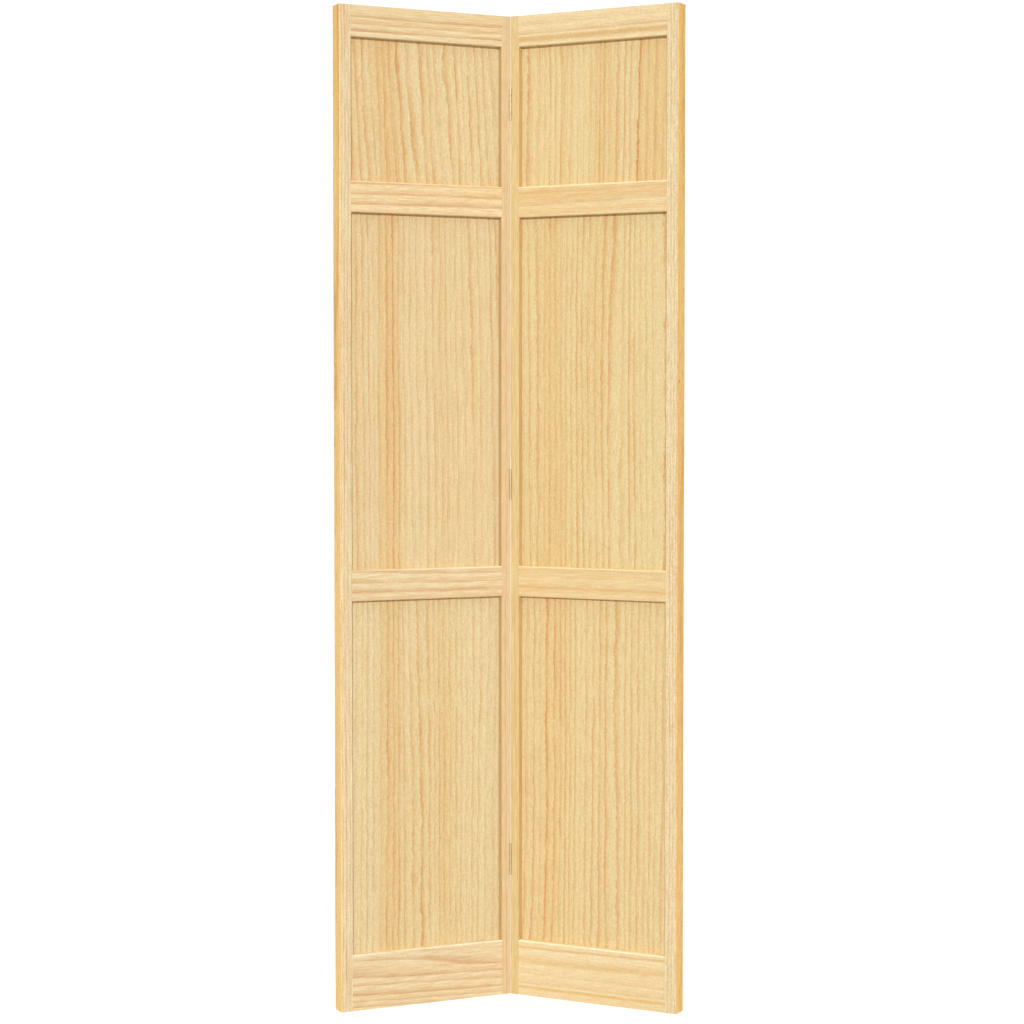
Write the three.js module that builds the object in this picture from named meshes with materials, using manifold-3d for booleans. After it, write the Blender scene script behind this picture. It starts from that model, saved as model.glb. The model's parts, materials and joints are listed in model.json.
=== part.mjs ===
// A bifold closet door of clear pine: two stile-and-rail leaves with flat panels, joined by
// three butt hinges let into their meeting edges. Millimetres, +Z up, the doorway across X.
// The door stands part folded, with the fold away from the side of the hinge pins.

import * as THREE from "three";
import { mergeVertices } from "three/addons/utils/BufferGeometryUtils.js";
import Module from "manifold-3d";

// The leaves
const door_height = 2006.6;
const leaf_width = 374.65;
const leaf_thickness = 34.9;
const leaf_angle_deg = 27; // of each leaf to the doorway, as it stands
const meeting_gap = 0.3; // between the leaves when they lie flat

// Stiles and rails
const outer_stile_width = 25;
const meeting_stile_width = 19.5;
const top_rail_height = 62;
const frieze_rail_height = 62;
const lock_rail_height = 62.5;
const bottom_rail_height = 113.5;
const upper_sight_height = 284; // of the upper panel between its rails
const middle_sight_height = 712;
const arris_ease = 1.2;
const meeting_arris_ease = 0.1;

// Panels and their grooves
const panel_thickness = 6.35;
const groove_depth = 8;
const panel_float = 1.2; // left around a panel so that it can swell
const joint_clearance = 0.3;

// Dowels in the rail ends
const dowel_radius = 4.76;
const dowel_length = 50;
const dowel_chamfer = 1;
const dowel_wall = 3.2; // wood between a dowel hole and the edge of the leaf
const pair_dowel_shares = [0.25, 0.75]; // of the sound wood in a bottom rail's end

// Sockets for the pivot and guide pins
const socket_radius = 4.76;
const socket_depth = 31.75;

// Hinges
const hinge_height = 63.5;
const hinge_top_drop = 178; // from the top of the door to the middle of the top hinge
const hinge_bottom_rise = 280; // from the bottom of the door to the middle of the bottom hinge
const plate_thickness = 1.6;
const plate_setback = 5.3; // from the plate's far edge to the far face of the leaf
const plate_corner_radius = 6.35;
const barrel_radius = 2.5;
const pin_radius = 1.1;
const pin_proud = 0.3; // of the pin's axis beyond the room face
const pin_head_height = 1.2;
const pin_fit = 0.25;
const knuckle_gap = 0.35;
const barrel_clearance = 0.35;
const knuckle_count = 5;

// Screws
const screw_length = 14;
const screw_head_radius = 3.1;
const screw_head_height = 1.8;
const screw_head_sink = 0.2;
const screw_crest_radius = 1.8;
const screw_root_radius = 1.25;
const screw_pitch = 2.2;
const screw_point_length = 3;
const screw_row_wall = 2; // wood between a screw hole and the panel groove
const screw_rise_share = 0.3; // of the hinge's height, from its middle
const slot_width = 0.9;
const slot_length = 3.4;
const slot_depth = 1;

const overrun = 1; // of every cut beyond the face that it starts from
const round_sides = 20;
const dowel_sides = 16;
const screw_sides = 12;

const leaf_angle = THREE.MathUtils.degToRad(leaf_angle_deg);
const mid_depth = leaf_thickness / 2;
const groove_half = panel_thickness / 2 + joint_clearance;
const plate_reach = leaf_thickness - plate_setback;

const wasm = await Module();
wasm.setup();

/** A closed solid, for cutting and joining, of a geometry whose faces point outwards. */
function solidOf(geometry) {
  geometry.deleteAttribute("normal");
  geometry.deleteAttribute("uv");
  const welded = mergeVertices(geometry);
  const corners = welded.index.array;
  const kept = [];
  for (let i = 0; i < corners.length; i += 3) {
    const [a, b, c] = corners.subarray(i, i + 3);
    if (a !== b && b !== c && c !== a) kept.push(a, b, c);
  }
  return new wasm.Manifold(new wasm.Mesh({
    numProp: 3,
    vertProperties: new Float32Array(welded.attributes.position.array),
    triVerts: new Uint32Array(kept),
  }));
}

/** A named piece with its own finish. */
function piece(name, solid, finish) {
  const mesh = solid.getMesh();
  const geometry = new THREE.BufferGeometry();
  geometry.setAttribute("position", new THREE.BufferAttribute(mesh.vertProperties, 3));
  geometry.setIndex(new THREE.BufferAttribute(mesh.triVerts, 1));
  geometry.computeVertexNormals();
  const made = new THREE.Mesh(geometry, new THREE.MeshStandardMaterial(finish));
  made.name = name;
  return made;
}

// Each leaf is built as it lies with the door flat: the pin's axis is x = 0, y = 0. A place in a
// leaf is given by its distance from the meeting edge, its depth from the room face and its
// height. The pivot leaf lies towards -X (side -1) and the lead leaf towards +X (side 1).
const alongX = (side, fromEdge) => side * (fromEdge + meeting_gap / 2);
const alongY = (depth) => depth + pin_proud;

/** An outline of [distance from the meeting edge, depth] places, drawn out between two heights. */
function upright(side, outline, low, high) {
  const shape = new THREE.Shape(
    outline.map(([fromEdge, depth]) => new THREE.Vector2(alongX(side, fromEdge), alongY(depth))));
  const geometry = new THREE.ExtrudeGeometry(shape, { depth: high - low, bevelEnabled: false });
  return solidOf(geometry.translate(0, 0, low));
}

/** A shape of depths and heights, drawn out between two distances from the meeting edge. */
function crosswise(side, shape, near, far) {
  const geometry = new THREE.ExtrudeGeometry(
    shape, { depth: far - near, bevelEnabled: false, curveSegments: round_sides / 4 });
  const turn = new THREE.Matrix4().makeBasis(
    new THREE.Vector3(0, 1, 0), new THREE.Vector3(0, 0, 1), new THREE.Vector3(1, 0, 0));
  geometry.applyMatrix4(turn);
  return solidOf(geometry.translate(Math.min(alongX(side, near), alongX(side, far)), pin_proud, 0));
}

/** A block between two distances from the meeting edge, two depths and two heights. */
function block(side, [near, far], [front, back], [low, high]) {
  return upright(side, [[near, front], [far, front], [far, back], [near, back]], low, high);
}

/** A round rod across the leaf, turned from [radius, distance from the meeting edge] places. */
function crossRod(side, profile, depth, height, sides) {
  const ordered = side > 0 ? profile : [...profile].reverse();
  const points = ordered.map(([radius, fromEdge]) =>
    new THREE.Vector2(radius, alongX(side, fromEdge)));
  const geometry = new THREE.LatheGeometry(points, sides).rotateZ(-Math.PI / 2);
  return solidOf(geometry.translate(0, alongY(depth), height));
}

/** A round rod that stands upright at a place in the plan. */
function standingRod(x, y, radius, low, high) {
  const geometry = new THREE.CylinderGeometry(radius, radius, high - low, round_sides);
  return solidOf(geometry.rotateX(Math.PI / 2).translate(x, y, (low + high) / 2));
}

const joined = (solids) => solids.reduce((sum, solid) => sum.add(solid));
const cutBy = (solid, cutters) => cutters.reduce((rest, cutter) => rest.subtract(cutter), solid);

// Heights of the rails, from the bottom up
const top_rail_low = door_height - top_rail_height;
const frieze_rail_high = top_rail_low - upper_sight_height;
const frieze_rail_low = frieze_rail_high - frieze_rail_height;
const lock_rail_high = frieze_rail_low - middle_sight_height;
const lock_rail_low = lock_rail_high - lock_rail_height;

const rails = [
  { name: "bottom_rail", low: 0, high: bottom_rail_height, grooves: ["high"] },
  { name: "lock_rail", low: lock_rail_low, high: lock_rail_high, grooves: ["low", "high"] },
  { name: "frieze_rail", low: frieze_rail_low, high: frieze_rail_high, grooves: ["low", "high"] },
  { name: "top_rail", low: top_rail_low, high: door_height, grooves: ["low"] },
];

/** Heights of the dowels in one rail's ends, clear of the sockets and of the panel grooves. */
function dowelHeights(rail) {
  if (rail.low === 0) {
    const sound = rail.high - groove_depth - socket_depth;
    return pair_dowel_shares.map((share) => socket_depth + share * sound);
  }
  if (rail.high === door_height) {
    return [(door_height - socket_depth + rail.low + groove_depth) / 2];
  }
  return [(rail.low + rail.high) / 2];
}

// The two stiles of a leaf: `edge` is the outside edge and `sight` the edge beside the panels,
// both as distances from the meeting edge.
const stiles = [
  { name: "meeting_stile", edge: 0, sight: meeting_stile_width, ease: meeting_arris_ease },
  { name: "outer_stile", edge: leaf_width, sight: leaf_width - outer_stile_width, ease: arris_ease },
];

/** The cross-section of a stile: a groove in the sight edge and four eased arrises. */
function stileOutline({ edge, sight, ease }) {
  const out = Math.sign(edge - sight);
  const bed = sight + out * groove_depth;
  return [
    [edge, ease], [edge, leaf_thickness - ease],
    [edge - out * ease, leaf_thickness], [sight + out * arris_ease, leaf_thickness],
    [sight, leaf_thickness - arris_ease],
    [sight, mid_depth + groove_half], [bed, mid_depth + groove_half],
    [bed, mid_depth - groove_half], [sight, mid_depth - groove_half],
    [sight, arris_ease], [sight + out * arris_ease, 0], [edge - out * ease, 0],
  ];
}

/** What is cut off a rail's end so that it laps the eased arrises of its stile. */
function copeOutline({ edge, sight }) {
  const out = Math.sign(edge - sight);
  const shoulder = sight - out * joint_clearance;
  const tip = shoulder + out * (arris_ease + overrun);
  const beyond = edge + out * overrun;
  return [
    [shoulder, arris_ease], [tip, -overrun], [beyond, -overrun],
    [beyond, leaf_thickness + overrun], [tip, leaf_thickness + overrun],
    [shoulder, leaf_thickness - arris_ease],
  ];
}

/** The cross-section of a rail: grooves and eased arrises only on the edges beside panels. */
function railShape({ low, high, grooves }) {
  const shape = new THREE.Shape();
  const points = [];
  for (const [level, inward, eased] of [
    [low, 1, grooves.includes("low")], [high, -1, grooves.includes("high")]]) {
    const ease = eased ? arris_ease : 0;
    const edge = [[0, level + inward * ease]];
    if (eased) {
      edge.push([ease, level], [mid_depth - groove_half, level],
        [mid_depth - groove_half, level + inward * groove_depth],
        [mid_depth + groove_half, level + inward * groove_depth],
        [mid_depth + groove_half, level], [leaf_thickness - ease, level]);
    }
    edge.push([leaf_thickness, level + inward * ease]);
    points.push(...(inward > 0 ? edge : edge.reverse()));
  }
  shape.setFromPoints(points.map(([depth, height]) => new THREE.Vector2(depth, height)));
  return shape;
}

/** The part of the leaf's width that a dowel takes up, nearer end first. */
function dowelSpan({ edge, sight }) {
  const into = Math.sign(sight - edge);
  const start = edge + into * (dowel_wall + joint_clearance);
  return [start, start + into * dowel_length].sort((a, b) => a - b);
}

/** One dowel with chamfered ends. */
function dowel(side, stile, height) {
  const [near, far] = dowelSpan(stile);
  const end_radius = dowel_radius - dowel_chamfer;
  return crossRod(side, [
    [0, near], [end_radius, near], [dowel_radius, near + dowel_chamfer],
    [dowel_radius, far - dowel_chamfer], [end_radius, far], [0, far],
  ], mid_depth, height, dowel_sides);
}

/** The plain hole that one dowel goes into, half in its stile and half in its rail. */
function dowelHole(side, stile, height) {
  const [near, far] = dowelSpan(stile);
  const radius = dowel_radius + joint_clearance;
  const [start, end] = [near - joint_clearance, far + joint_clearance];
  return crossRod(side, [[0, start], [radius, start], [radius, end], [0, end]],
    mid_depth, height, dowel_sides);
}

const dowels = rails.flatMap((rail) => stiles.flatMap((stile) =>
  dowelHeights(rail).map((height, i, all) => ({
    rail, stile, height,
    name: `dowel_${rail.name}_${stile.name}` + (all.length > 1 ? `_${i + 1}` : ""),
  }))));

const hinges = [
  { name: "bottom_hinge", middle: hinge_bottom_rise },
  { name: "middle_hinge", middle: (hinge_bottom_rise + door_height - hinge_top_drop) / 2 },
  { name: "top_hinge", middle: door_height - hinge_top_drop },
];

/** A hinge plate's outline, its far corners rounded, grown by a clearance for its mortise. */
function plateShape(middle, clearance) {
  const low = middle - hinge_height / 2 - clearance;
  const high = middle + hinge_height / 2 + clearance;
  const far = plate_reach + clearance;
  const radius = plate_corner_radius + clearance;
  const near = clearance > 0 ? -overrun : -pin_proud;
  const shape = new THREE.Shape();
  shape.moveTo(near, low);
  shape.lineTo(far - radius, low);
  shape.absarc(far - radius, low + radius, radius, -Math.PI / 2, 0, false);
  shape.absarc(far - radius, high - radius, radius, 0, Math.PI / 2, false);
  shape.lineTo(near, high);
  return shape;
}

const knuckle_length = (hinge_height - (knuckle_count - 1) * knuckle_gap) / knuckle_count;

/** Heights of one side's knuckles: the pivot leaf's are the outer and the middle ones. */
function knuckles(side, middle) {
  const all = Array.from({ length: knuckle_count }, (_, i) => {
    const low = middle - hinge_height / 2 + i * (knuckle_length + knuckle_gap);
    return [low, low + knuckle_length];
  });
  return all.filter((_, i) => i % 2 === (side < 0 ? 0 : 1));
}

/** Where a plate's screws sit: the lower one nearer the pin, the upper one farther from it. */
function screwPlaces(middle) {
  const crest = screw_crest_radius + joint_clearance;
  const rowOffset = groove_half + screw_row_wall + crest;
  const rise = screw_rise_share * hinge_height;
  return [
    { row: "lower", depth: mid_depth - rowOffset, height: middle - rise },
    { row: "upper", depth: mid_depth + rowOffset, height: middle + rise },
  ];
}

/** A countersunk screw driven in from the meeting edge, with its rings of thread. */
function screw(side, { depth, height }) {
  const tip = screw_head_sink + screw_length;
  const neck = screw_head_sink + screw_head_height;
  const threadEnd = tip - screw_point_length;
  const rings = Math.floor((threadEnd - neck) / screw_pitch);
  const profile = [
    [0, screw_head_sink], [screw_head_radius, screw_head_sink], [screw_root_radius, neck]];
  for (let i = 0; i < rings; i++) {
    const start = threadEnd - (rings - i) * screw_pitch;
    if (start > neck) profile.push([screw_root_radius, start]);
    profile.push([screw_crest_radius, start + screw_pitch / 2]);
  }
  profile.push([screw_root_radius, threadEnd], [0, tip]);
  const turned = crossRod(side, profile, depth, height, screw_sides);
  const slotFloor = screw_head_sink + slot_depth;
  const [half, thin] = [slot_length / 2, slot_width / 2];
  return cutBy(turned, [[half, thin], [thin, half]].map(([deep, tall]) => block(
    side, [-overrun, slotFloor], [depth - deep, depth + deep], [height - tall, height + tall])));
}

/** The countersunk hole that one screw goes into. */
function screwHole(side, { depth, height }) {
  const neck = screw_head_sink + screw_head_height + joint_clearance;
  const tip = screw_head_sink + screw_length + joint_clearance;
  const crest = screw_crest_radius + joint_clearance;
  const head = screw_head_radius + joint_clearance;
  return crossRod(side, [
    [0, -overrun], [head, -overrun], [head, screw_head_sink], [crest, neck], [crest, tip], [0, tip],
  ], depth, height, screw_sides);
}

/** The place for one hinge in a meeting stile: mortise, barrel notch and screw holes. */
function hingeCuts(side, middle) {
  const low = middle - hinge_height / 2 - barrel_clearance;
  const high = middle + hinge_height / 2 + knuckle_gap + pin_head_height + barrel_clearance;
  return [
    crosswise(side, plateShape(middle, joint_clearance), -overrun,
      plate_thickness + joint_clearance),
    standingRod(0, 0, barrel_radius + barrel_clearance, low, high),
    ...screwPlaces(middle).map((place) => screwHole(side, place)),
  ];
}

/** One plate with its knuckles, bored for the pin and cleared round the other's knuckles. */
function hingePlate(side, middle) {
  const [low, high] = [middle - hinge_height, middle + hinge_height];
  const plate = crosswise(side, plateShape(middle, 0), 0, plate_thickness);
  const cleared = cutBy(plate, knuckles(-side, middle).map(([from, to]) =>
    standingRod(0, 0, barrel_radius + barrel_clearance, from - knuckle_gap, to + knuckle_gap)));
  const barrel = knuckles(side, middle).map(([from, to]) =>
    standingRod(0, 0, barrel_radius, from, to));
  return cutBy(joined([cleared, ...barrel]), [
    standingRod(0, 0, pin_radius + pin_fit, low, high),
    ...screwPlaces(middle).map((place) => screwHole(side, place)),
  ]);
}

/** A hinge pin whose head sits just above the top knuckle. */
function hingePin(middle) {
  const low = middle - hinge_height / 2;
  const seat = middle + hinge_height / 2 + knuckle_gap;
  return joined([
    standingRod(0, 0, pin_radius, low, seat + pin_head_height / 2),
    standingRod(0, 0, barrel_radius, seat, seat + pin_head_height),
  ]);
}

/** A socket bored into one end of an outer stile, in the sound wood beside its groove. */
function socket(side, end) {
  const fromEdge = leaf_width - (outer_stile_width - groove_depth) / 2;
  const [low, high] = end === "top"
    ? [door_height - socket_depth, door_height + overrun] : [-overrun, socket_depth];
  return standingRod(alongX(side, fromEdge), alongY(mid_depth), socket_radius, low, high);
}

/** A stile, grooved, bored for its dowels and cut for its hinges or sockets. */
function stileSolid(side, stile, socketEnds) {
  const cuts = dowels.filter((each) => each.stile === stile)
    .map((each) => dowelHole(side, stile, each.height));
  if (stile.edge === 0) {
    cuts.push(...hinges.flatMap(({ middle }) => hingeCuts(side, middle)));
  } else {
    cuts.push(...socketEnds.map((end) => socket(side, end)));
  }
  return cutBy(upright(side, stileOutline(stile), 0, door_height), cuts);
}

/** A rail with coped shoulders, a stub tenon in each stile's groove, and dowel holes. */
function railSolid(side, rail) {
  const [meeting, outer] = stiles;
  const bar = crosswise(side, railShape(rail),
    meeting.sight - arris_ease, outer.sight + arris_ease);
  const coped = cutBy(bar, stiles.map((stile) => upright(
    side, copeOutline(stile), rail.low - overrun, rail.high + overrun)));
  const low = rail.low + (rail.grooves.includes("low") ? groove_depth : 0);
  const high = rail.high - (rail.grooves.includes("high") ? groove_depth : 0);
  const tenon = block(side,
    [meeting.sight - groove_depth + joint_clearance, outer.sight + groove_depth - joint_clearance],
    [mid_depth - panel_thickness / 2, mid_depth + panel_thickness / 2], [low, high]);
  return cutBy(coped.add(tenon), dowels.filter((each) => each.rail === rail)
    .map((each) => dowelHole(side, each.stile, each.height)));
}

/** A flat panel that stands in the groove of the rail below it and floats in the other three. */
function panelSolid(side, below, above) {
  const [meeting, outer] = stiles;
  const slack = groove_depth - panel_float;
  return block(side, [meeting.sight - slack, outer.sight + slack],
    [mid_depth - panel_thickness / 2, mid_depth + panel_thickness / 2],
    [below.high - groove_depth + joint_clearance, above.low + slack]);
}

const pine = (color) => ({ color, roughness: 0.6, metalness: 0 });
const stile_finishes = { meeting_stile: pine("#ebcc9a"), outer_stile: pine("#eed5a8") };
const rail_finish = pine("#ecd0a0");
const panel_finish = pine("#e6c48c");
const dowel_finish = { color: "#d9b888", roughness: 0.7, metalness: 0 };
const brass = { color: "#c8a05a", roughness: 0.35, metalness: 0.9 };
const bright_brass = { color: "#d6b26c", roughness: 0.3, metalness: 0.9 };

/** All the pieces that turn with one leaf. */
function buildLeaf(name, side, socketEnds) {
  const leaf = new THREE.Group();
  leaf.name = name;
  for (const stile of stiles) {
    leaf.add(piece(`${name}_${stile.name}`, stileSolid(side, stile, socketEnds),
      stile_finishes[stile.name]));
  }
  for (const rail of rails) {
    leaf.add(piece(`${name}_${rail.name}`, railSolid(side, rail), rail_finish));
  }
  for (const [i, panel] of ["lower_panel", "middle_panel", "upper_panel"].entries()) {
    leaf.add(piece(`${name}_${panel}`, panelSolid(side, rails[i], rails[i + 1]), panel_finish));
  }
  for (const each of dowels) {
    leaf.add(piece(`${name}_${each.name}`, dowel(side, each.stile, each.height), dowel_finish));
  }
  for (const hinge of hinges) {
    leaf.add(piece(`${name}_${hinge.name}_plate`, hingePlate(side, hinge.middle), brass));
    for (const place of screwPlaces(hinge.middle)) {
      leaf.add(piece(`${name}_${hinge.name}_screw_${place.row}`, screw(side, place), bright_brass));
    }
    if (side < 0) leaf.add(piece(`${hinge.name}_pin`, hingePin(hinge.middle), bright_brass));
  }
  leaf.rotation.z = -side * leaf_angle;
  return leaf;
}

// The middle of the door's depth as it stands: between the outer edges' near corners and the
// meeting edges' far corners.
const near_corner = pin_proud * Math.cos(leaf_angle)
  - (leaf_width + meeting_gap / 2) * Math.sin(leaf_angle);
const far_corner = (leaf_thickness + pin_proud) * Math.cos(leaf_angle)
  - meeting_gap / 2 * Math.sin(leaf_angle);

const door = new THREE.Group();
door.name = "bifold_closet_door";
door.add(buildLeaf("pivot_leaf", -1, ["bottom", "top"]), buildLeaf("lead_leaf", 1, ["top"]));
door.position.y = -(near_corner + far_corner) / 2;

export default door;
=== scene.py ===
"""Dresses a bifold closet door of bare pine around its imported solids.

The door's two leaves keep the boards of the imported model, and each board gets its own cut of
timber: growth rings with ragged edges, thinner rings between them, warm bands, fibres and
flecks, which all run along that board. The hinges between the leaves are satin brass, and
the room round the door is plain and pale.
"""

import json
import logging
import math
from abc import ABC, abstractmethod
from dataclasses import dataclass, replace
from enum import Enum
from typing import Union

import bmesh
import bpy
from mathutils import Matrix, Vector


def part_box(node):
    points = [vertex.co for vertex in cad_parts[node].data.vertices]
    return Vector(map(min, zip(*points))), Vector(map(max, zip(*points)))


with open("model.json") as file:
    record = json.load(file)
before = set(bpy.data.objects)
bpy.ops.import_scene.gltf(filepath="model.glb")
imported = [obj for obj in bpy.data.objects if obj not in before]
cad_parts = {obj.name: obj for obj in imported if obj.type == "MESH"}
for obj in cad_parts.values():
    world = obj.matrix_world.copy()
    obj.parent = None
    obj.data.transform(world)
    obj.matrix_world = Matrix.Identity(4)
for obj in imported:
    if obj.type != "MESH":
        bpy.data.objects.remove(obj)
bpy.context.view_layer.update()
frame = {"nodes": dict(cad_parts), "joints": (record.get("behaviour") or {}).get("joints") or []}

LOG = logging.getLogger("bifold_door")

Colour = tuple[float, float, float]
Number = Union[float, "Value"]

WHITE = (1.0, 1.0, 1.0)
BLACK = (0.0, 0.0, 0.0)
SEED_STEPS = (1.0, 1.7, 2.3)  # how far a seed moves a noise along each axis
MIX_SHARE, MIX_FIRST, MIX_SECOND, MIX_RESULT = 0, 6, 7, 2  # a Mix node's sockets for colours


def srgb(red: int, green: int, blue: int) -> Colour:
    """A colour given in screen values, as the linear values that shaders use.

    Args:
        red: Red from 0 to 255.
        green: Green from 0 to 255.
        blue: Blue from 0 to 255.

    Returns:
        The three linear values from 0 to 1.
    """
    def linear(level: int) -> float:
        """One screen value as a linear one, by the standard curve of screens."""
        share = level / 255
        return share / 12.92 if share <= 0.04045 else ((share + 0.055) / 1.055) ** 2.4
    return linear(red), linear(green), linear(blue)


class Value:
    """A number that changes over a surface: a shader socket that takes part in sums."""

    def __init__(self, nodes: "ShaderNodes", socket: bpy.types.NodeSocket) -> None:
        """Wraps an output socket of a tree's own nodes."""
        self.nodes = nodes
        self.socket = socket

    def _math(self, operation: str, first: Number, second: Number) -> "Value":
        """One Math node on two numbers."""
        made = self.nodes.add("ShaderNodeMath", {"operation": operation}, {0: first, 1: second})
        return Value(self.nodes, made.outputs[0])

    def __add__(self, other: Number) -> "Value":
        """The sum of two numbers."""
        return self._math("ADD", self, other)

    def __sub__(self, other: Number) -> "Value":
        """This number less another."""
        return self._math("SUBTRACT", self, other)

    def __rsub__(self, other: float) -> "Value":
        """Another number less this one."""
        return self._math("SUBTRACT", other, self)

    def __mul__(self, other: Number) -> "Value":
        """The product of two numbers."""
        return self._math("MULTIPLY", self, other)

    def __truediv__(self, other: Number) -> "Value":
        """This number divided by another."""
        return self._math("DIVIDE", self, other)

    def __pow__(self, other: Number) -> "Value":
        """This number raised to a power."""
        return self._math("POWER", self, other)

    __radd__ = __add__
    __rmul__ = __mul__

    def fraction(self) -> "Value":
        """What is left of this number above its whole part."""
        return self._math("FRACT", self, 0.0)

    def whole(self) -> "Value":
        """The whole part of this number."""
        return self._math("FLOOR", self, 0.0)

    def ramp(self, low: float, high: float, start: float = 0.0, end: float = 1.0) -> "Value":
        """A soft step between two levels.

        Args:
            low: Where the step starts.
            high: Where the step ends.
            start: The result below the step.
            end: The result above the step.

        Returns:
            The stepped number.
        """
        made = self.nodes.add(
            "ShaderNodeMapRange", {"interpolation_type": "SMOOTHSTEP"},
            {"Value": self, "From Min": low, "From Max": high, "To Min": start, "To Max": end})
        return Value(self.nodes, made.outputs["Result"])


@dataclass(frozen=True)
class Wave:
    """A kind of smooth noise. Its scales are in waves per metre.

    Attributes:
        across: Its scale across the fibres, sideways and in depth.
        along: Its scale along the fibres.
        seed: What sets it apart from the other noises of the same piece.
        detail: How many finer waves are added.
        step: Where its patches start and are full, and what they start and are full with.
    """

    across: float
    along: float
    seed: float = 0.0
    detail: float = 2.0
    step: tuple[float, ...] = (-0.5, 0.5)


class ShaderNodes:
    """A tree of shader nodes under construction, and the calls that add to it."""

    def __init__(self, tree: bpy.types.NodeTree, shader: str) -> None:
        """Starts from a tree that holds its main shader, which is known by its type."""
        self.tree = tree
        self.shader = next(node for node in tree.nodes if node.type == shader)

    def _feed(self, socket: bpy.types.NodeSocket, source: object) -> None:
        """Links a value or a socket to an input, or sets a constant on it.

        Args:
            socket: The input.
            source: What it holds or is linked to.
        """
        if isinstance(source, Value):
            source = source.socket
        if isinstance(source, bpy.types.NodeSocket):
            self.tree.links.new(source, socket)
        elif isinstance(source, tuple) and socket.type == "RGBA":
            socket.default_value = (*source, 1.0)
        else:
            socket.default_value = source

    def add(self, kind: str, settings: dict[str, object],
            inputs: dict[str | int, object]) -> bpy.types.Node:
        """Adds a node.

        Args:
            kind: The node's type.
            settings: Its settings, which are made first.
            inputs: What each input holds or is linked to, by name or number.

        Returns:
            The node.
        """
        made = self.tree.nodes.new(kind)
        for setting, chosen in settings.items():
            setattr(made, setting, chosen)
        for key, source in inputs.items():
            self._feed(made.inputs[key], source)
        return made

    def set(self, **inputs: object) -> None:
        """Sets or links the main shader's inputs, named with _ in place of a space."""
        for name, source in inputs.items():
            self._feed(self.shader.inputs[name.replace("_", " ")], source)

    def place(self) -> bpy.types.NodeSocket:
        """The place on the object, in metres."""
        return self.add("ShaderNodeTexCoord", {}, {}).outputs["Object"]

    def seen(self) -> bpy.types.NodeSocket:
        """1 for what the camera sees directly, and 0 for what only lights other things."""
        return self.add("ShaderNodeLightPath", {}, {}).outputs["Is Camera Ray"]

    def mix(self, share: Number, first: object, second: object,
            blend: str = "MIX") -> bpy.types.NodeSocket:
        """Blends two colours.

        Args:
            share: How much of the second colour shows.
            first: The first colour or its socket.
            second: The second colour or its socket.
            blend: How they are blended.

        Returns:
            The socket of the blended colour.
        """
        made = self.add("ShaderNodeMix", {"data_type": "RGBA", "blend_type": blend},
                        {MIX_SHARE: share, MIX_FIRST: first, MIX_SECOND: second})
        return made.outputs[MIX_RESULT]

    def noise(self, place: bpy.types.NodeSocket, wave: Wave, seed: float = 0.0) -> Value:
        """Smooth noise round zero.

        Args:
            place: The point where it is read.
            wave: The kind of noise.
            seed: What sets one piece's noise apart from another's.

        Returns:
            The noise, from about -0.5 to 0.5.
        """
        start = tuple((seed + wave.seed) * step for step in SEED_STEPS)
        stretched = self.add("ShaderNodeMapping", {}, {
            "Vector": place, "Location": start, "Scale": (wave.across, wave.across, wave.along)})
        made = self.add("ShaderNodeTexNoise", {}, {
            "Vector": stretched.outputs[0], "Scale": 1.0, "Detail": wave.detail})
        return Value(self, made.outputs[0]) - 0.5


class NodeFinish(ShaderNodes):
    """A material under construction."""

    def __init__(self, name: str) -> None:
        """Starts a material with one main shader.

        Args:
            name: The material's name.
        """
        self.material = bpy.data.materials.new(name)
        self.material.use_nodes = True
        super().__init__(self.material.node_tree, "BSDF_PRINCIPLED")


class Grain(Enum):
    """Which way a board's fibres run in its leaf."""

    UPRIGHT = "upright"
    ACROSS = "across"


class Side(Enum):
    """Which side of the fold a leaf stands on."""

    LEFT = -1
    RIGHT = 1


class Way(Enum):
    """The three ways in which a place on a board is measured."""

    ACROSS = 0
    DEPTH = 1
    ALONG = 2


@dataclass(frozen=True)
class Timber:
    """A kind of bare pine. Lengths are in metres.

    Attributes:
        early: The pale wood of spring.
        late: The darker wood at each ring's end.
        blush: The warmer tint of its wide bands.
        ring: The usual distance between rings.
        uneven: How much that distance changes over the board, in rings.
        meander: How far a ring wanders over the board's length.
        wobble: How far it shakes over a hand's width.
        ragged: How far its edge goes to and fro over a finger's width.
        sharpness: How narrow the dark end of a ring is.
        strength: How dark it gets.
        faint: How much of that the faintest ring keeps.
        break_up: How much of a ring fades in patches.
        fine: How much the thin rings between the others show.
        mottle: How much the short fibres show.
        thread: How much the long fine fibres show.
    """

    early: Colour
    late: Colour
    blush: Colour
    ring: float = 0.0135
    uneven: float = 3.5
    meander: float = 0.03
    wobble: float = 0.0075
    ragged: float = 0.006
    sharpness: float = 3.2
    strength: float = 1.45
    faint: float = 0.35
    break_up: float = 0.6
    fine: float = 0.5
    mottle: float = 0.5
    thread: float = 0.4


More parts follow.
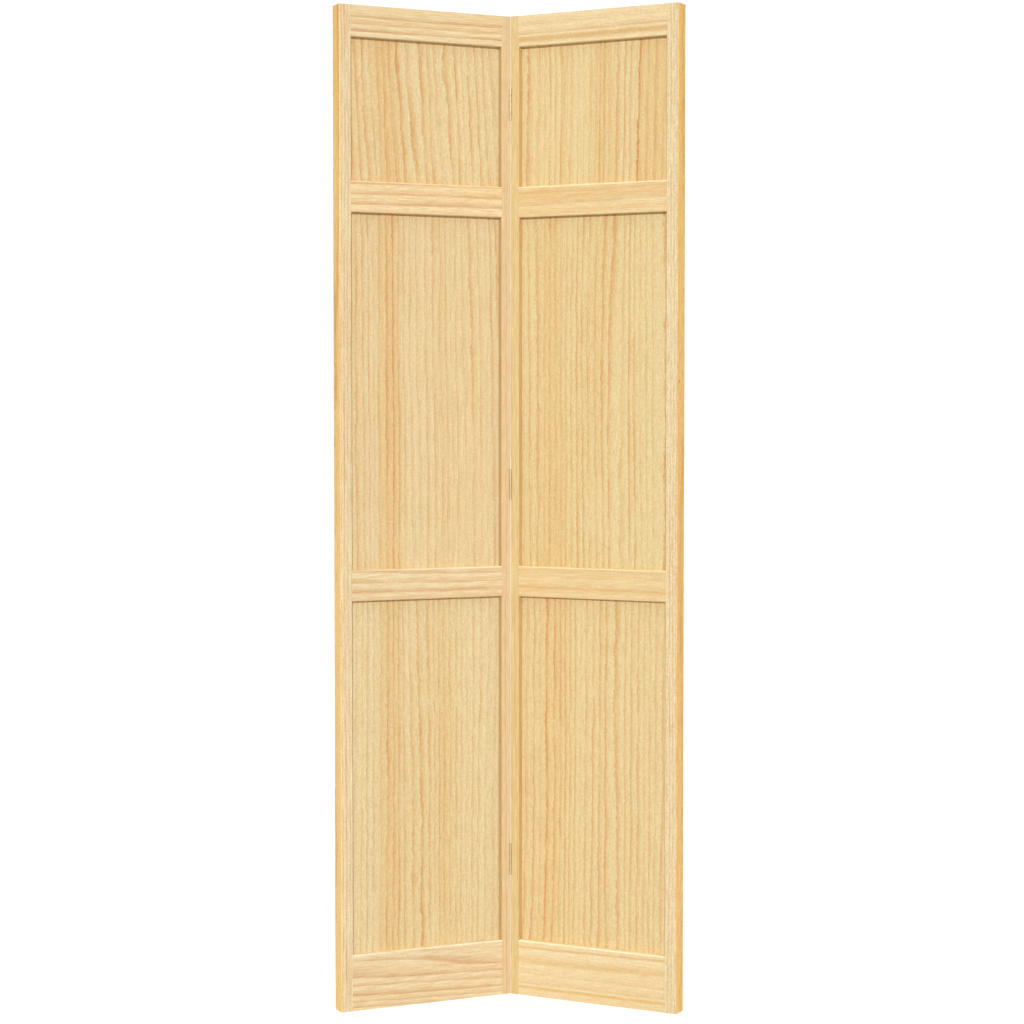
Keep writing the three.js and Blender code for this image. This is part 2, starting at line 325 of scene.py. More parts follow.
@dataclass(frozen=True)
class PlanedFace:
    """What the faces of all boards share, whatever timber they are cut from.

    Attributes:
        ring_end: Where in its width a ring's dark end starts to fade and has gone.
        ring_contrast: How far apart the strengths of the rings are.
        thin_rings: How many thin rings there are to a ring.
        thin_start: How far the first of them is from the first ring, in thin rings.
        thin_seed: What sets their strengths apart from the rings'.
        late_in_pale: How much of the rings' strength shows in pale wood.
        late_in_warm: How much more of it shows in warm wood.
        flecks_between: How much the flecks show between the rings.
        flecks_in_rings: How much more they show in the rings.
        blush: How much of its blush the warm wood has.
        fleck: How dark a fleck gets.
        swing: How far red, green and blue go with the shade of the fibres.
        strip_blur: How far the edge of a strip with its own tone is blurred, in metres.
        fibre_relief: How far the fibres stand out of the face.
        late_relief: How far the rings stand out.
        fleck_relief: How deep the flecks lie.
        relief: How strong all of that relief is.
        relief_height: How high it is, in metres.
        dullness: How dull the wood is.
        fibre_dullness: How much duller its fibres are.
        late_gloss: How much less dull its rings are.
    """

    ring_end: tuple[float, ...] = (0.84, 1.0, 1.0, 0.0)
    ring_contrast: float = 1.1
    thin_rings: float = 2.7
    thin_start: float = 0.4
    thin_seed: float = 31.0
    late_in_pale: float = 0.85
    late_in_warm: float = 0.5
    flecks_between: float = 0.3
    flecks_in_rings: float = 0.7
    blush: float = 0.7
    fleck: float = 0.35
    swing: Colour = (0.5, 1.0, 1.55)
    strip_blur: float = 0.0003
    fibre_relief: float = 0.6
    late_relief: float = 0.8
    fleck_relief: float = 0.6
    relief: float = 0.35
    relief_height: float = 0.0002
    dullness: float = 0.56
    fibre_dullness: float = 0.12
    late_gloss: float = 0.1


@dataclass(frozen=True)
class Band:
    """A warm band along a board's face. Lengths are in metres.

    Attributes:
        middle: Where its middle is, across the board.
        half: Half of its width.
        strength: How warm its middle is.
    """

    middle: float
    half: float
    strength: float


@dataclass(frozen=True)
class Zone:
    """A slice of a board with a tone of its own, such as an end, or with painted highlight or
    shade, such as at an arris, an edge or under a rail.

    Attributes:
        low: Where it starts, in metres.
        high: Where it ends.
        tone: What its colour is multiplied by.
        way: Which way it is measured.
    """

    low: float
    high: float
    tone: Colour
    way: Way = Way.ACROSS


@dataclass(frozen=True)
class Knot:
    """A pin knot that shows on a board. Lengths are in metres.

    Attributes:
        place: Its middle: across the board, into its depth and along its fibres.
        radius: How wide it is.
        heart: How much of that is its dark heart.
        halo: How far its tone reaches, in times its radius.
        strength: How much of its tone the heart has.
        tone: Its colour.
    """

    place: tuple[float, float, float]
    radius: float
    heart: float = 0.4
    halo: float = 1.5
    strength: float = 0.75
    tone: Colour = srgb(196, 128, 50)


@dataclass(frozen=True)
class Board:
    """One board of a leaf. Lengths are in metres, in the flat leaf's own frame.

    Attributes:
        part: Its name in the leaf.
        timber: What it is cut from.
        grain: Which way its fibres run.
        pith: How far to the side and behind its face the tree's middle was.
        slant: How far its fibres lean over a metre of their length.
        bands: The warm bands across its face.
        tint: What its colour is multiplied by, beside other boards of its timber.
        figure: How strong its rings are, beside other boards of its timber.
        zones: Its strips with tones of their own.
        knots: Its pin knots.
    """

    part: str
    timber: Timber
    grain: Grain = Grain.UPRIGHT
    pith: tuple[float, float] = (0.6, 0.2)
    slant: float = 0.0
    bands: tuple[Band, ...] = ()
    tint: Colour = WHITE
    figure: float = 1.0
    zones: tuple[Zone, ...] = ()
    knots: tuple[Knot, ...] = ()


PLANED = PlanedFace()

DRIFT = Wave(3.5, 1.3, 0.0, 1.0)  # a ring's wandering over the board's length
SHAKE = Wave(40.0, 13.0, 3.1)  # its shaking over a hand's width
FRAY = Wave(170.0, 95.0, 41.0)  # the to and fro of its ragged edge
SWELL = Wave(13.0, 0.3, 5.7, 1.0)  # the rings' uneven widths
THIN_AREAS = Wave(22.0, 0.9, 17.0, 1.0, (-0.15, 0.2))  # where thin rings show
FADED = Wave(80.0, 9.0, 9.2, 3.0, (-0.1, 0.2))  # where rings fade
WARMTH = Wave(9.0, 0.8, 12.4, 2.0, (0.0, 0.25, 0.0, 0.5))  # faint warm areas beside the bands
FIBRE = Wave(340.0, 230.0, 1.3)  # short fibres
THREAD = Wave(480.0, 30.0, 21.0)  # long fine fibres
FLECK = Wave(560.0, 110.0, 7.9, 1.0, (0.12, 0.24))  # short dark flecks
CLOUD = Wave(90.0, 90.0, 2.0, 3.0, (-0.2, 0.3))  # the clouding of brass
SCUFF = Wave(2200.0, 260.0, 4.0)  # its fine scuffs


class Cut:
    """The nodes that draw one board's own cut of timber."""

    def __init__(self, board: Board, name: str, to_leaf: Matrix, seed: float) -> None:
        """Starts the board's material.

        Args:
            board: The board.
            name: The material's name.
            to_leaf: Turns a place in the standing door into the flat leaf's own frame.
            seed: What sets this board apart from others.
        """
        self.board, self.timber, self.seed = board, board.timber, seed
        self.finish = NodeFinish(name)
        self.place = self._place(to_leaf)
        split = self.finish.add("ShaderNodeSeparateXYZ", {}, {0: self.place})
        self.ways = {way: Value(self.finish, socket) for way, socket in zip(Way, split.outputs)}

    def material(self) -> bpy.types.Material:
        """Draws the board.

        Returns:
            The board's material.
        """
        finish, timber, tint = self.finish, self.timber, self.board.tint
        aside = self._aside()
        warm = self._warmth(aside)
        late = self._figure(aside) * (warm * PLANED.late_in_warm + PLANED.late_in_pale) * (
            timber.strength * self.board.figure)
        fibre, thread = self._noise(FIBRE), self._noise(THREAD)
        flecks = self._patches(FLECK) * (PLANED.flecks_between + late * PLANED.flecks_in_rings)

        wood = finish.mix(warm * PLANED.blush, timber.early, timber.blush)
        wood = finish.mix(late, wood, timber.late)
        wood = finish.mix(flecks * PLANED.fleck, wood, timber.late)
        shade = fibre * timber.mottle + thread * timber.thread
        swing = tuple(reach * level for reach, level in zip(PLANED.swing, tint))
        cast = finish.add("ShaderNodeVectorMath", {"operation": "MULTIPLY_ADD"},
                          {0: shade, 1: swing, 2: tint})
        wood = finish.mix(1.0, wood, cast.outputs[0], "MULTIPLY")
        wood = self._with_knots(self._with_zones(wood))

        relief = (fibre * PLANED.fibre_relief + late * PLANED.late_relief
                  - flecks * PLANED.fleck_relief)
        bump = finish.add("ShaderNodeBump", {}, {
            "Strength": PLANED.relief, "Distance": PLANED.relief_height, "Height": relief})
        dullness = PLANED.dullness + fibre * PLANED.fibre_dullness - late * PLANED.late_gloss
        finish.set(Base_Color=wood, Roughness=dullness, Normal=bump.outputs[0])
        return finish.material

    def _place(self, to_leaf: Matrix) -> bpy.types.NodeSocket:
        """The place on the board: across its face, into its depth and along its fibres.

        Args:
            to_leaf: Turns a place in the standing door into the flat leaf's own frame.

        Returns:
            The socket of the place.
        """
        leaf = self.finish.add("ShaderNodeMapping", {}, {
            "Vector": self.finish.place(), "Location": tuple(to_leaf.to_translation()),
            "Rotation": tuple(to_leaf.to_euler())}).outputs[0]
        if self.board.grain is Grain.UPRIGHT:
            return leaf
        x, y, z = self.finish.add("ShaderNodeSeparateXYZ", {}, {0: leaf}).outputs
        return self.finish.add("ShaderNodeCombineXYZ", {}, {0: z, 1: y, 2: x}).outputs[0]

    def _noise(self, wave: Wave) -> Value:
        """One of the board's noises."""
        return self.finish.noise(self.place, wave, self.seed)

    def _patches(self, wave: Wave) -> Value:
        """The patches of one of the board's noises."""
        return self._noise(wave).ramp(*wave.step)

    def _aside(self) -> Value:
        """How far across the board a ring seems to be, as it wanders, shakes, frays and leans.

        Returns:
            The distance from the middle of the door, in metres.
        """
        timber = self.timber
        return (self.ways[Way.ACROSS] + self._noise(DRIFT) * timber.meander
                + self._noise(SHAKE) * timber.wobble + self._noise(FRAY) * timber.ragged
                + self.ways[Way.ALONG] * self.board.slant)

    def _figure(self, aside: Value) -> Value:
        """How dark the rings and the thin rings are here.

        Args:
            aside: How far across the board the place seems to be.

        Returns:
            The darkness, from 0 between the rings to about 1 in them.
        """
        timber, (side, behind) = self.timber, self.board.pith
        from_pith = ((aside - side) ** 2.0 + (self.ways[Way.DEPTH] - behind) ** 2.0) ** 0.5
        rings = from_pith / timber.ring + self._noise(SWELL) * timber.uneven
        late = self._late_wood(rings, self.seed)
        thin = self._late_wood(rings * PLANED.thin_rings + PLANED.thin_start,
                               self.seed + PLANED.thin_seed)
        late = late + thin * self._patches(THIN_AREAS) * timber.fine
        return late * (1.0 - self._patches(FADED) * timber.break_up)

    def _late_wood(self, rings: Value, seed: float) -> Value:
        """How dark each ring is here.

        Args:
            rings: A count of rings, which grows over the board.
            seed: What sets the strengths of these rings apart from others'.

        Returns:
            The darkness, from 0 between the rings to 1 in the strongest.
        """
        timber = self.timber
        turn = rings.fraction()
        rise = turn ** timber.sharpness * turn.ramp(*PLANED.ring_end)
        each = self.finish.add("ShaderNodeTexWhiteNoise", {"noise_dimensions": "1D"},
                               {"W": rings.whole() + seed})
        weight = Value(self.finish, each.outputs[0]) ** PLANED.ring_contrast
        return rise * (timber.faint + weight * (1.0 - timber.faint))

    def _warmth(self, aside: Value) -> Value:
        """How warm the wood is here.

        Args:
            aside: How far across the board the place seems to be.

        Returns:
            The warmth, from 0 in pale wood.
        """
        warm = self._patches(WARMTH)
        for band in self.board.bands:
            off = (aside - band.middle) / band.half
            warm = warm + (off * off).ramp(0.0, 1.0, band.strength, 0.0)
        return warm

    def _with_zones(self, wood: bpy.types.NodeSocket) -> bpy.types.NodeSocket:
        """Gives each strip its tone: the end grain's own colour, or painted highlight or shade at
        arrises, edges and under rails.

        Args:
            wood: The wood's colour.

        Returns:
            The colour with the strips' tones.
        """
        for zone in self.board.zones:
            here, blur = self.ways[zone.way], PLANED.strip_blur
            inside = (here.ramp(zone.low - blur, zone.low + blur)
                      * here.ramp(zone.high - blur, zone.high + blur, 1.0, 0.0))
            wood = self.finish.mix(inside, wood, zone.tone, "MULTIPLY")
        return wood

    def _with_knots(self, wood: bpy.types.NodeSocket) -> bpy.types.NodeSocket:
        """Adds the pin knots.

        Args:
            wood: The wood's colour.

        Returns:
            The colour with the knots.
        """
        for knot in self.board.knots:
            off = self.finish.add("ShaderNodeVectorMath", {"operation": "DISTANCE"},
                                  {0: self.place, 1: knot.place}).outputs["Value"]
            dark = Value(self.finish, off).ramp(
                knot.heart * knot.radius, knot.halo * knot.radius, knot.strength, 0.0)
            wood = self.finish.mix(dark, wood, knot.tone)
        return wood


@dataclass(frozen=True)
class Metal:
    """A metal finish, faintly clouded and scuffed.

    Attributes:
        tone: Its colour.
        dullness: How dull it is.
        tarnish: How much of it has lost its shine.
        tarnished: How bright its colour is there.
        cloud_dullness: How much its clouding changes its dullness.
        scuff_dullness: How much its scuffs do.
    """

    tone: Colour
    dullness: float
    tarnish: float = 0.6
    tarnished: float = 0.72
    cloud_dullness: float = 0.12
    scuff_dullness: float = 0.1

    def material(self, name: str) -> bpy.types.Material:
        """Makes the metal's material.

        Args:
            name: The material's name.

        Returns:
            The material.
        """
        finish = NodeFinish(name)
        here = finish.place()
        cloud, scuff = finish.noise(here, CLOUD), finish.noise(here, SCUFF)
        worn = tuple(self.tarnished * level for level in self.tone)
        tone = finish.mix(cloud.ramp(*CLOUD.step) * self.tarnish, self.tone, worn)
        dullness = self.dullness + cloud * self.cloud_dullness + scuff * self.scuff_dullness
        finish.set(Base_Color=tone, Metallic=1.0, Roughness=dullness)
        return finish.material


PANEL_PINE = Timber(early=srgb(218, 198, 149), late=srgb(200, 138, 68), blush=srgb(215, 181, 122))
WAVY_PINE = replace(PANEL_PINE, early=srgb(218, 197, 146), ring=0.0165, uneven=3.0,
                    meander=0.045, wobble=0.011, sharpness=2.6, strength=1.35, faint=0.4,
                    fine=0.35)
STILE_PINE = Timber(early=srgb(222, 202, 162), late=srgb(198, 148, 94), blush=srgb(218, 187, 140),
                    ring=0.007, uneven=3.0, meander=0.014, wobble=0.003, ragged=0.002,
                    strength=1.8, mottle=0.6, thread=0.8)
PLAIN_PINE = Timber(early=srgb(218, 192, 146), late=srgb(202, 162, 112),
                    blush=srgb(214, 179, 130), ring=0.009, uneven=2.0, meander=0.02,
                    wobble=0.002, ragged=0.0005, sharpness=2.5, strength=0.8, mottle=0.2,
                    thread=0.6)
RAIL_PINE = Timber(early=srgb(226, 203, 158), late=srgb(188, 130, 70), blush=srgb(220, 184, 130),
                   ring=0.019, uneven=4.5, meander=0.02, wobble=0.003, ragged=0.001,
                   sharpness=2.6, strength=1.7, faint=0.3, break_up=0.4, fine=0.18, mottle=0.3,
                   thread=0.7)
CALM_PINE = Timber(early=srgb(226, 202, 156), late=srgb(200, 148, 84), blush=srgb(218, 178, 116),
                   ring=0.024, uneven=3.5, meander=0.02, wobble=0.004, ragged=0.002,
                   sharpness=1.6, strength=0.6, faint=0.3, break_up=0.3, fine=0.2, mottle=0.3,
                   thread=0.5)
BROWN_PINE = replace(CALM_PINE, late=srgb(184, 138, 84), blush=srgb(208, 168, 110), fine=0.6,
                     mottle=0.4)
BIRCH = Timber(early=srgb(210, 184, 146), late=srgb(192, 160, 118), blush=srgb(206, 176, 136),
               ring=0.002, uneven=0.3, meander=0.001, wobble=0.0002, ragged=0.0, strength=0.5)
SATIN_BRASS = Metal(srgb(224, 203, 162), 0.55)
BRIGHT_BRASS = Metal(srgb(234, 210, 162), 0.48)


def paint(node: str, material: bpy.types.Material) -> None:
    """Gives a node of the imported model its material.

    Args:
        node: The node's name.
        material: Its material.
    """
    mesh = frame["nodes"][node].data
    mesh.materials.clear()
    mesh.materials.append(material)
    LOG.info("%s: %s", node, material.name)


@dataclass(frozen=True)
class EdgeToneAndShade:
    """What the upright edges of a leaf are multiplied by: painted light and shade, and the outer
    edge's own more orange colour.

    Attributes:
        outer: The leaf's outer edge: partly its own more orange colour, partly painted light that
            brightens it.
        sight: Painted shade along the line beside the panels on the meeting stile.
        fold: Painted shade on the eased arris at the fold.
    """

    outer: Colour
    sight: Colour
    fold: Colour


# Painted highlight on the eased arrises along the rails' tops and beside the outer stiles'
# panels.
PAINTED_HIGHLIGHT_TONE = (1.2, 1.34, 1.5)
END_TONE = (0.84, 0.78, 0.68)
# Painted shade on each panel just under a rail.
PAINTED_RAIL_SHADE_TONE = (0.95, 0.87, 0.82)
# Painted light and shade on each leaf's upright edges; the outer edge also has its own more
# orange colour.
LEFT_EDGE_TONE_AND_SHADE = EdgeToneAndShade((1.42, 1.17, 0.71), (0.84, 0.75, 0.6), (0.9, 0.83, 0.68))
RIGHT_EDGE_TONE_AND_SHADE = EdgeToneAndShade((1.32, 1.03, 0.59), (0.96, 0.84, 0.74), (0.95, 0.93, 0.9))


@dataclass
class Leaf(ABC):
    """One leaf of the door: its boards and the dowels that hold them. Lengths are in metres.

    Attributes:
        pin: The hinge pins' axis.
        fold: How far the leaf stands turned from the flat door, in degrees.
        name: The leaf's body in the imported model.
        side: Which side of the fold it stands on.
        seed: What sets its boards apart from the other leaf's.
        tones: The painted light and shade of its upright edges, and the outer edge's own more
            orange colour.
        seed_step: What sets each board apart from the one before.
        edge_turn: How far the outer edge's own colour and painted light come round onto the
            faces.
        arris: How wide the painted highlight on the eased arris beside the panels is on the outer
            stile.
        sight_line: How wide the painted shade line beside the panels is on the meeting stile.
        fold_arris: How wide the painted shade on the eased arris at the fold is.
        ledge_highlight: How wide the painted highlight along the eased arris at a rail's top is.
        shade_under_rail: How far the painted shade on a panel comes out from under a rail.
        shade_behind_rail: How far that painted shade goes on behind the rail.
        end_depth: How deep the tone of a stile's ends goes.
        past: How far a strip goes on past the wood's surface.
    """

    pin: Vector
    fold: float
    name: str
    side: Side
    seed: float
    tones: EdgeToneAndShade
    seed_step: float = 4.37
    edge_turn: float = 0.0007
    arris: float = 0.0017
    sight_line: float = 0.00055
    fold_arris: float = 0.00115
    ledge_highlight: float = 0.0026
    shade_under_rail: float = 0.004
    shade_behind_rail: float = 0.003
    end_depth: float = 0.0002
    past: float = 0.001

    @abstractmethod
    def boards(self) -> tuple[Board, ...]:
        """The leaf's stiles, rails and panels, with the timber of each."""

    def dress(self) -> int:
        """Gives each board and dowel its own cut of timber.

        Returns:
            How many nodes were dressed.
        """
        boards, to_leaf = self.boards(), self.to_leaf()
        for count, board in enumerate(boards):
            node = f"{self.name}_{board.part}"
            paint(node, Cut(board, node, to_leaf, self.seed + self.seed_step * count).material())
        dowel = Board("dowels", BIRCH, Grain.ACROSS)
        birch = Cut(dowel, f"{self.name}_dowels", to_leaf, self.seed).material()
        dowels = [node for node in frame["nodes"] if node.startswith(f"{self.name}_dowel")]
        for node in dowels:
            paint(node, birch)
        return len(boards) + len(dowels)

    def to_leaf(self) -> Matrix:
        """Turns a place in the standing door into the flat leaf's frame, round the pins."""
        turn = Matrix.Rotation(math.radians(self.side.value * self.fold), 4, "Z")
        return turn @ Matrix.Translation(-self.pin)

    def _strip(self, near: float, far: float, tone: Colour) -> Zone:
        """An upright strip between two distances from the fold."""
        low, high = sorted((self.side.value * near, self.side.value * far))
        return Zone(low, high, tone)

    def _reach(self, part: str) -> tuple[float, float]:
        """How far from the fold a board starts and ends, in the flat leaf.

        Args:
            part: The board's name in the leaf.

        Returns:
            The two distances.
        """
        to_leaf, mesh = self.to_leaf(), frame["nodes"][f"{self.name}_{part}"].data
        reaches = [self.side.value * (to_leaf @ vertex.co).x for vertex in mesh.vertices]
        return min(reaches), max(reaches)

    def _heights(self, part: str) -> tuple[float, float]:
        """The heights of a board's lower and upper edges."""
        low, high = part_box(f"{self.name}_{part}")
        return low.z, high.z

    def _ends(self, part: str) -> tuple[Zone, Zone]:
        """The end grain of a stile.

        Args:
            part: The stile's name in the leaf.

        Returns:
            Its foot and its head.
        """
        foot, head = self._heights(part)
        return (Zone(foot - self.past, foot + self.end_depth, END_TONE, Way.ALONG),
                Zone(head - self.end_depth, head + self.past, END_TONE, Way.ALONG))

    def _outer_zones(self) -> tuple[Zone, ...]:
        """What has a tone of its own or painted light on the outer stile.

        Returns:
            Its outer edge, with its own more orange colour and painted light, the painted
            highlight on its arris beside the panels, and its ends.
        """
        near, far = self._reach("outer_stile")
        return (self._strip(far - self.edge_turn, far + self.past, self.tones.outer),
                self._strip(near - self.past, near + self.arris, PAINTED_HIGHLIGHT_TONE),
                *self._ends("outer_stile"))

    def _inner_zones(self) -> tuple[Zone, ...]:
        """What has painted shade or a tone of its own on the meeting stile.

        Returns:
            Its painted shade line beside the panels, the painted shade on its arris at the fold,
            and its ends.
        """
        near, far = self._reach("meeting_stile")
        return (self._strip(far - self.sight_line, far + self.past, self.tones.sight),
                self._strip(near - self.past, near + self.fold_arris, self.tones.fold),
                *self._ends("meeting_stile"))

    def _painted_ledge_highlight(self, rail: str) -> tuple[Zone]:
        """A painted highlight along the eased arris at a rail's top."""
        _, top = self._heights(rail)
        return (Zone(top - self.ledge_highlight, top + self.past, PAINTED_HIGHLIGHT_TONE),)

    def _painted_rail_shade(self, rail: str) -> tuple[Zone]:
        """Painted shade on a panel close under a rail."""
        under, _ = self._heights(rail)
        return (Zone(under - self.shade_under_rail, under + self.shade_behind_rail, PAINTED_RAIL_SHADE_TONE, Way.ALONG),)


@dataclass
class PivotLeaf(Leaf):
    """The leaf on the left, which stands on the pivots."""

    name: str = "pivot_leaf"
    side: Side = Side.LEFT
    seed: float = 11.0
    tones: EdgeToneAndShade = LEFT_EDGE_TONE_AND_SHADE

    def boards(self) -> tuple[Board, ...]:
        """Chooses the timber of each stile, rail and panel.

        Returns:
            The leaf's boards.
        """
        across = Grain.ACROSS
        return (
            Board("outer_stile", STILE_PINE, pith=(-0.6, 0.06), tint=(0.99, 0.98, 0.95),
                  zones=self._outer_zones()),
            Board("meeting_stile", PLAIN_PINE, bands=(Band(-0.0085, 0.003, 0.9),),
                  tint=(0.99, 0.98, 0.98), zones=self._inner_zones()),
            Board("top_rail", RAIL_PINE, across, pith=(2.6, 0.1),
                  bands=(Band(1.9756, 0.009, 0.6), Band(2.002, 0.006, 0.4)),
                  tint=(0.98, 0.98, 0.97)),
            Board("frieze_rail", RAIL_PINE, across, pith=(2.3, 0.1), tint=(1.02, 1.01, 1.0),
                  figure=0.85, zones=self._painted_ledge_highlight("frieze_rail")),
            Board("lock_rail", RAIL_PINE, across, pith=(1.5, 0.1), slant=0.01,
                  bands=(Band(0.8625, 0.004, 0.5), Band(0.8395, 0.005, 0.5)),
                  tint=(0.98, 0.98, 1.0), zones=self._painted_ledge_highlight("lock_rail")),
            Board("bottom_rail", RAIL_PINE, across, pith=(0.6, 0.1), slant=0.06,
                  bands=(Band(0.056, 0.018, 0.4), Band(0.007, 0.006, 0.3)),
                  tint=(0.98, 0.99, 1.03), zones=self._painted_ledge_highlight("bottom_rail")),
            Board("upper_panel", WAVY_PINE, slant=0.05,
                  bands=(Band(-0.168, 0.034, 0.95), Band(-0.082, 0.02, 0.35)),
                  tint=(1.0, 1.01, 1.06), zones=self._painted_rail_shade("top_rail")),
            Board("middle_panel", PANEL_PINE, slant=0.01,
                  bands=(Band(-0.251, 0.036, 0.85), Band(-0.133, 0.015, 0.25)),
                  tint=(0.99, 0.97, 0.985), figure=0.88, zones=self._painted_rail_shade("frieze_rail")),
            Board("lower_panel", PANEL_PINE,
                  bands=(Band(-0.263, 0.036, 0.8), Band(-0.145, 0.016, 0.35)),
                  tint=(0.99, 1.0, 1.03), figure=0.92, zones=self._painted_rail_shade("lock_rail")),
        )


@dataclass
class LeadLeaf(Leaf):
    """The leaf on the right, which the guide pin leads along the track.

    Attributes:
        edge_knot: How far behind its face and how high the pin knot in its outer edge is.
    """

    name: str = "lead_leaf"
    side: Side = Side.RIGHT
    seed: float = 83.0
    tones: EdgeToneAndShade = RIGHT_EDGE_TONE_AND_SHADE
    edge_knot: tuple[float, float] = (0.009, 1.263)

    def boards(self) -> tuple[Board, ...]:
        """Chooses the timber of each stile, rail and panel.

        Returns:
            The leaf's boards.
        """
        across = Grain.ACROSS
        _, edge = self._reach("outer_stile")
        return (
            Board("outer_stile", STILE_PINE, pith=(0.6, 0.06), tint=(1.01, 1.01, 0.96),
                  figure=0.75, zones=self._outer_zones(),
                  knots=(Knot((edge, *self.edge_knot), 0.0032),)),
            Board("meeting_stile", PLAIN_PINE, slant=0.015, tint=(0.98, 0.98, 0.83),
                  figure=1.3, zones=self._inner_zones()),
            Board("top_rail", BROWN_PINE, across, pith=(2.6, 0.1),
                  bands=(Band(1.9585, 0.0065, 1.05), Band(1.966, 0.011, 0.2)),
                  tint=(1.02, 1.03, 1.01), figure=1.3),
            Board("frieze_rail", CALM_PINE, across, pith=(2.3, 0.1), slant=-0.02,
                  bands=(Band(1.64, 0.014, 0.6), Band(1.606, 0.008, 0.4)),
                  tint=(0.99, 0.98, 0.93), zones=self._painted_ledge_highlight("frieze_rail")),
            Board("lock_rail", CALM_PINE, across, pith=(1.5, 0.1),
                  bands=(Band(0.845, 0.008, 0.5), Band(0.872, 0.005, 0.3)),
                  tint=(0.98, 0.95, 0.87), figure=0.7, zones=self._painted_ledge_highlight("lock_rail")),
            Board("bottom_rail", CALM_PINE, across, pith=(0.6, 0.1), slant=-0.01,
                  bands=(Band(0.0155, 0.0035, 1.4), Band(0.074, 0.012, 0.6),
                         Band(0.1, 0.003, 0.9)),
                  tint=(1.02, 1.06, 1.09), zones=self._painted_ledge_highlight("bottom_rail")),
            Board("upper_panel", PANEL_PINE,
                  bands=(Band(0.118, 0.015, 0.4), Band(0.197, 0.012, 0.2), Band(0.32, 0.05, 0.7)),
                  tint=(1.01, 1.0, 0.97), figure=0.95, zones=self._painted_rail_shade("top_rail")),
            Board("middle_panel", PANEL_PINE,
                  bands=(Band(0.09, 0.034, 0.6), Band(0.2, 0.015, 0.15)),
                  tint=(1.0, 0.99, 0.945), zones=self._painted_rail_shade("frieze_rail")),
            Board("lower_panel", PANEL_PINE, slant=-0.01,
                  bands=(Band(0.083, 0.034, 0.55), Band(0.197, 0.015, 0.3)),
                  tint=(1.01, 0.98, 0.94), figure=0.95, zones=self._painted_rail_shade("lock_rail")),
        )


@dataclass
class Hinges:
    """The three butt hinges between the leaves.

    Attributes:
        names: The hinges, from the top down.
        plate: The metal of the plates and their knuckles.
        bright: The metal of the pins and screws.
    """

    names: tuple[str, ...] = ("top_hinge", "middle_hinge", "bottom_hinge")
    plate: Metal = SATIN_BRASS
    bright: Metal = BRIGHT_BRASS

    def dress(self) -> int:
        """Gives each plate, pin and screw its metal.

        Returns:
            How many nodes were dressed.
        """
        satin, bright = self.plate.material("satin_brass"), self.bright.material("bright_brass")
        nodes = [node for node in frame["nodes"] if any(name in node for name in self.names)]
        for node in nodes:
            paint(node, satin if node.endswith("_plate") else bright)
        return len(nodes)


@dataclass(frozen=True)
class Sun:
    """A distant soft light.

    Attributes:
        name: Its name.
        height: How high above the horizon it is, in degrees.
        bearing: Where it is round from the front, in degrees.
        energy: Its strength.
        spread: How wide it looks from the door, in degrees.
    """

    name: str
    height: float
    bearing: float
    energy: float
    spread: float

    def hang(self) -> None:
        """Adds the light to the scene."""
        light = bpy.data.lights.new(self.name, "SUN")
        light.energy, light.angle = self.energy, math.radians(self.spread)
        lamp = bpy.data.objects.new(self.name, light)
        lamp.rotation_euler = (math.radians(90.0 - self.height), 0.0, math.radians(self.bearing))
        bpy.context.scene.collection.objects.link(lamp)


SUNS = (
    Sun("overhead_light", 66.0, 0.0, 0.85, 60.0),
    Sun("front_light", 13.5, 0.0, 2.27, 2.5),
    Sun("back_light", 25.0, 180.0, 2.2, 50.0),
    Sun("left_light", 20.0, -75.0, 0.35, 70.0),
    Sun("right_light", 20.0, 75.0, 0.35, 70.0),
)


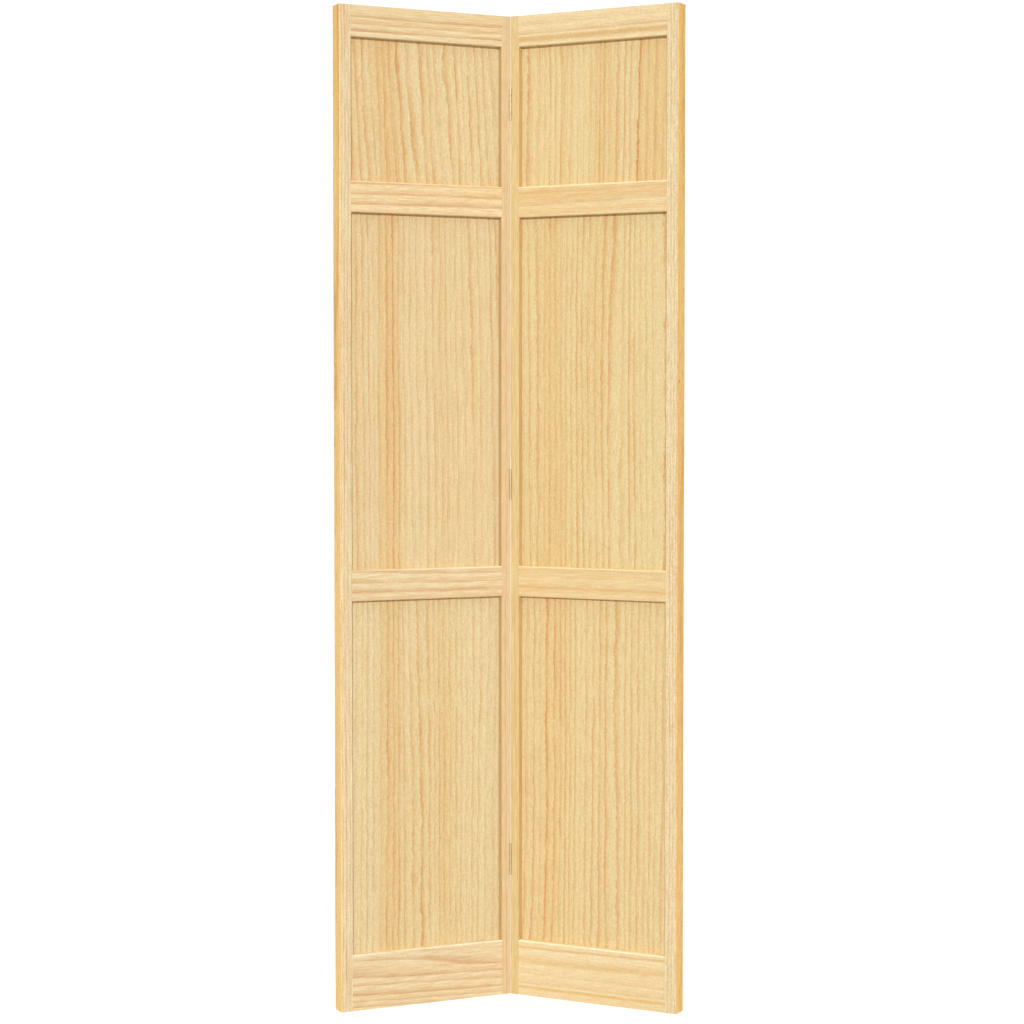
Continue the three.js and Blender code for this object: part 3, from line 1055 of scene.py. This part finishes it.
@dataclass
class Studio:
    """The plain pale room that the door stands in, its lights and its camera.

    Attributes:
        focal: The lens, in millimetres.
        sensor: The width of the picture behind it, in millimetres.
        eye: Where the camera stands.
        pitch: How far it looks down, in degrees.
        yaw: How far it is turned to the left, in degrees.
        sight: From where to where it sees, in metres.
        floor_reach: How far the floor goes on each way, in metres.
        floor_tone: The floor's own colour.
        floor_dullness: How dull the floor is.
        floor_glow: How much brighter the floor looks than it lights the door.
        glow_tone: The colour of that.
        ambient: The strength of the even light all round.
        backdrop: How bright the room looks behind the door.
        suns: The lights.
    """

    focal: float = 86.4
    sensor: float = 36.0
    eye: tuple[float, float, float] = (0.1043, -4.9711, 1.2022)
    pitch: float = 2.33
    yaw: float = 1.146
    sight: tuple[float, float] = (0.05, 200.0)
    floor_reach: float = 60.0
    floor_tone: Colour = (0.6, 0.6, 0.6)
    floor_dullness: float = 0.9
    floor_glow: float = 0.53
    glow_tone: Colour = (1.0, 1.0, 1.05)
    ambient: float = 0.2
    backdrop: float = 1.05
    suns: tuple[Sun, ...] = SUNS

    def build(self) -> None:
        """Sets up the floor, the lights and the camera."""
        self._floor()
        self._world()
        for sun in self.suns:
            sun.hang()
        self._camera()
        bpy.context.scene.view_settings.view_transform = "Standard"

    def _floor(self) -> None:
        """Lays the pale floor."""
        finish = NodeFinish("pale_floor")
        glow = finish.mix(finish.seen(), BLACK, self.glow_tone)
        finish.set(Base_Color=self.floor_tone, Roughness=self.floor_dullness,
                   Emission_Color=glow, Emission_Strength=self.floor_glow)
        mesh = bpy.data.meshes.new("floor")
        shape = bmesh.new()
        bmesh.ops.create_grid(shape, x_segments=1, y_segments=1, size=self.floor_reach)
        shape.to_mesh(mesh)
        shape.free()
        mesh.materials.append(finish.material)
        floor = bpy.data.objects.new("floor", mesh)
        bpy.context.scene.collection.objects.link(floor)

    def _world(self) -> None:
        """Surrounds the door with even light, seen as plain white."""
        world = bpy.data.worlds.new("studio")
        world.use_nodes = True
        room = ShaderNodes(world.node_tree, "BACKGROUND")
        level = room.add("ShaderNodeMapRange", {}, {
            "Value": room.seen(), "To Min": self.ambient, "To Max": self.backdrop})
        room.set(Color=WHITE, Strength=level.outputs[0])
        bpy.context.scene.world = world

    def _camera(self) -> None:
        """Stands the camera where the photograph was taken from."""
        camera = bpy.data.cameras.new("camera")
        camera.lens, camera.sensor_width = self.focal, self.sensor
        camera.clip_start, camera.clip_end = self.sight
        stand = bpy.data.objects.new("camera", camera)
        stand.location = self.eye
        stand.rotation_euler = (math.radians(90.0 - self.pitch), 0.0, math.radians(self.yaw))
        bpy.context.scene.collection.objects.link(stand)
        bpy.context.scene.camera = stand


def main() -> None:
    """Dresses the leaves and the hinges, and sets up the studio."""
    logging.basicConfig(level=logging.INFO, format="%(message)s")
    joint = next(joint for joint in frame["joints"] if joint["name"] == "fold")
    x, y, _ = joint["pos_m"]
    pin = Vector((x, y, 0.0))
    fold = -joint["range_deg"][0] / 2.0  # each leaf makes half of the way to the flat door
    for leaf in (PivotLeaf(pin, fold), LeadLeaf(pin, fold)):
        LOG.info("%s: %d nodes dressed", leaf.name, leaf.dress())
    LOG.info("hinges: %d nodes dressed", Hinges().dress())
    Studio().build()


if __name__ == "__main__":
    main()
